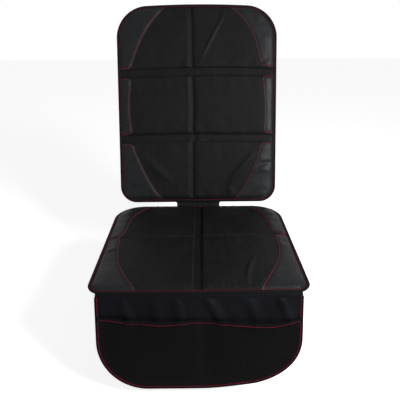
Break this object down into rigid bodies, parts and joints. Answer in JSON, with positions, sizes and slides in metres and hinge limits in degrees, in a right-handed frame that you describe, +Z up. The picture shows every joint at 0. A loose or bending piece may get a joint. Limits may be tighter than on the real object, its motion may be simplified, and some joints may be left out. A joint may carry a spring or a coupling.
{
  "type": "car seat protector mat",
  "caption": "Quilted car seat protector mat: a reclined back panel and a level seat panel joined by a cloth strip, with a front flap that carries net pockets.",
  "frame": {"origin": "centre of the flat underside of the seat panel's lining", "axes": "+Z up, -Y out of the seat panel's front edge where the flap hangs, +X to the right seen from the front"},
  "size_m": [0.4832, 0.7152, 0.7847],
  "materials": {
    "oxford_cloth": "matt plain weave, black",
    "grained_leather": "soft sheen, fine grain, dark grey",
    "backing": "matt, dotted against slipping, black",
    "binding_tape": "matt ribbed tape, black",
    "foam": "open-cell foam",
    "flap_cloth": "thin smooth cloth, blue-black",
    "pocket_net": "open net, black"
  },
  "bodies": {
    "root": {"back_lining": "backing", "back_cover": "oxford_cloth", "back_foam_foot_left": "foam", "back_foam_foot_right": "foam", "back_foam_middle_left": "foam", "back_foam_middle_right": "foam", "back_foam_top_left": "foam", "back_foam_top_right": "foam", "back_leather_foot_left": "grained_leather", "back_leather_foot_right": "grained_leather", "back_leather_middle_left": "grained_leather", "back_leather_middle_right": "grained_leather", "back_leather_top_left": "grained_leather", "back_leather_top_right": "grained_leather", "back_binding": "binding_tape", "bight_strip": "oxford_cloth", "seat_lining": "backing", "seat_cover": "oxford_cloth", "seat_foam_front_left": "foam", "seat_foam_front_right": "foam", "seat_foam_rear_left": "foam", "seat_foam_rear_right": "foam", "seat_leather_front_left": "grained_leather", "seat_leather_front_right": "grained_leather", "seat_leather_rear_left": "grained_leather", "seat_leather_rear_right": "grained_leather", "seat_binding": "binding_tape", "flap_panel": "flap_cloth", "flap_binding": "binding_tape", "pocket_net": "pocket_net", "pocket_hem": "binding_tape"}
  },
  "joints": []
}
